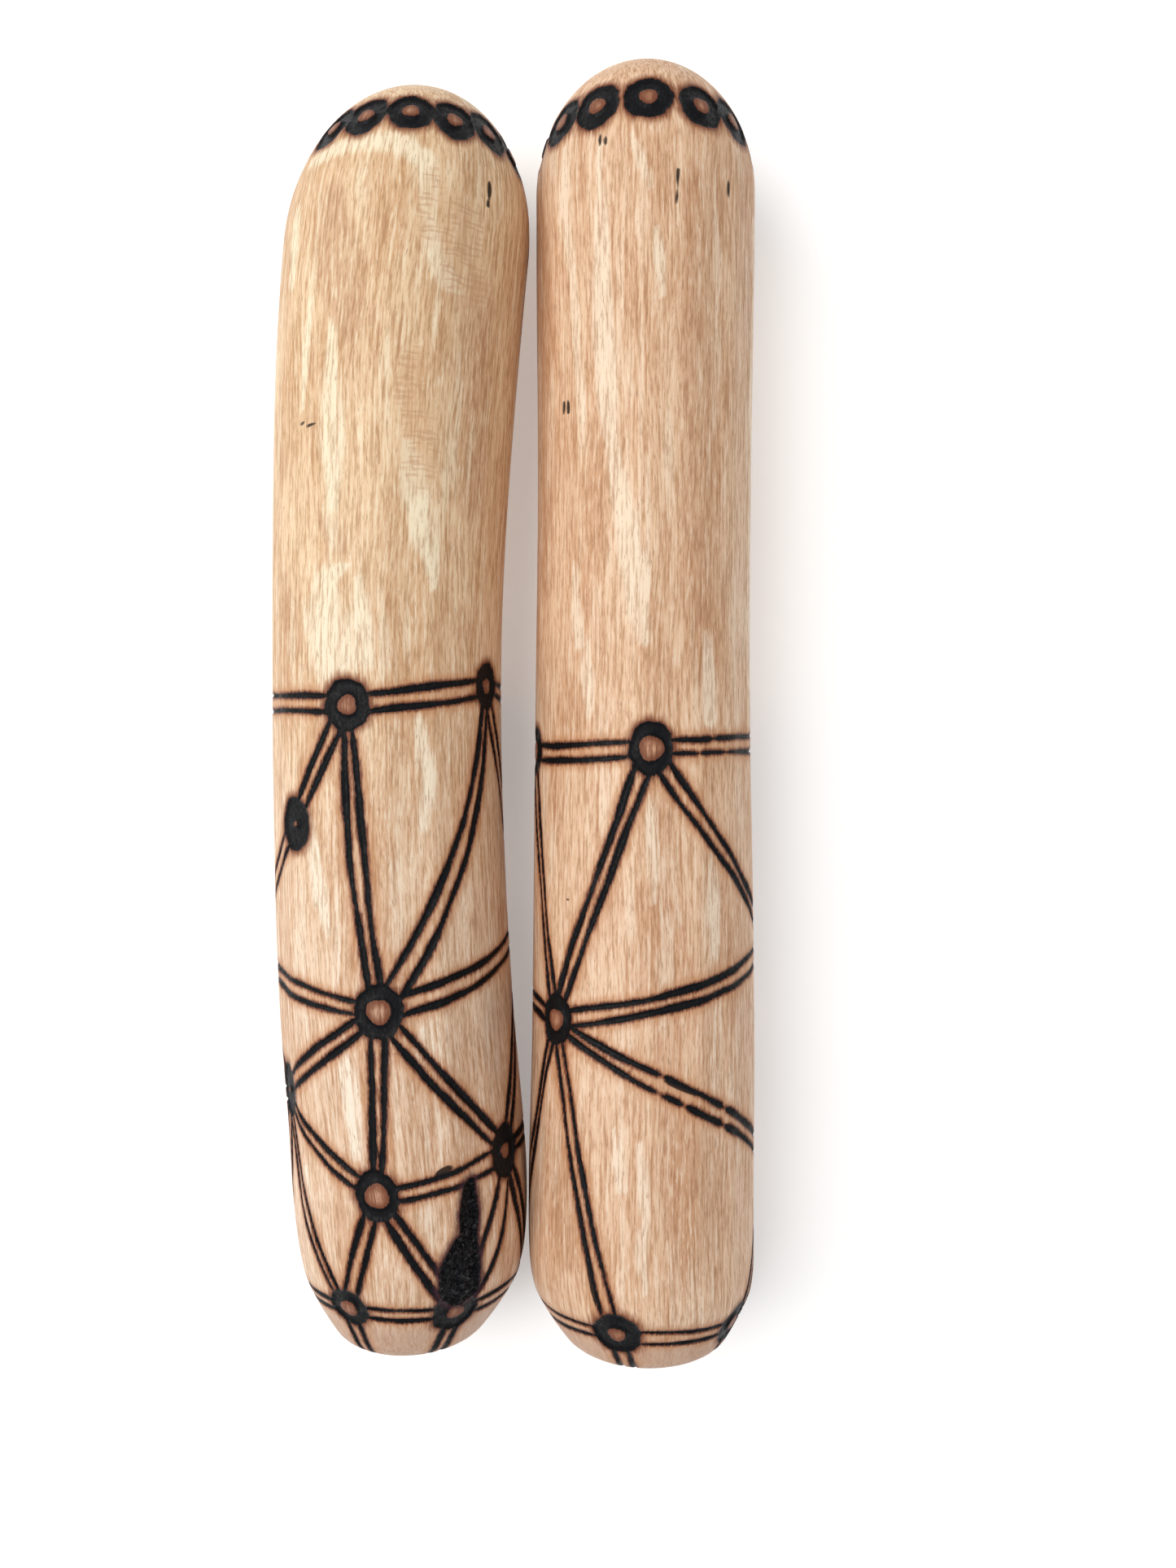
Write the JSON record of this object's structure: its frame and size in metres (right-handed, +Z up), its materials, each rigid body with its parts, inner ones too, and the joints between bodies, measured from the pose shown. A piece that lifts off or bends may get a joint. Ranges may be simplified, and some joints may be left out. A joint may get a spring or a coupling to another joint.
{
  "type": "claves",
  "caption": "Hand-carved wooden claves, one stick gently bent and one straight, round-ended, with burnt rings joined by double lines.",
  "frame": {"origin": "on the surface the pair lies on, under the middle of the two claves side by side", "axes": "+Y along both claves towards their domed ends, +X across from the curved clave to the straight one, +Z up, the burnt side"},
  "size_m": [0.0876, 0.2346, 0.0435],
  "materials": {
    "wood": "smooth rubbed hardwood with a soft satin sheen, pale tan with cream streaks, decorated with matt black burnt-in grooves"
  },
  "bodies": {
    "curved_clave": {"curved_clave": "wood"},
    "straight_clave": {"straight_clave": "wood"}
  },
  "joints": [
    {"name": "strike_slide", "type": "slide", "parent": "curved_clave", "child": "straight_clave", "axis": [1, 0, 0], "range_m": [0, 0.15]}
  ]
}
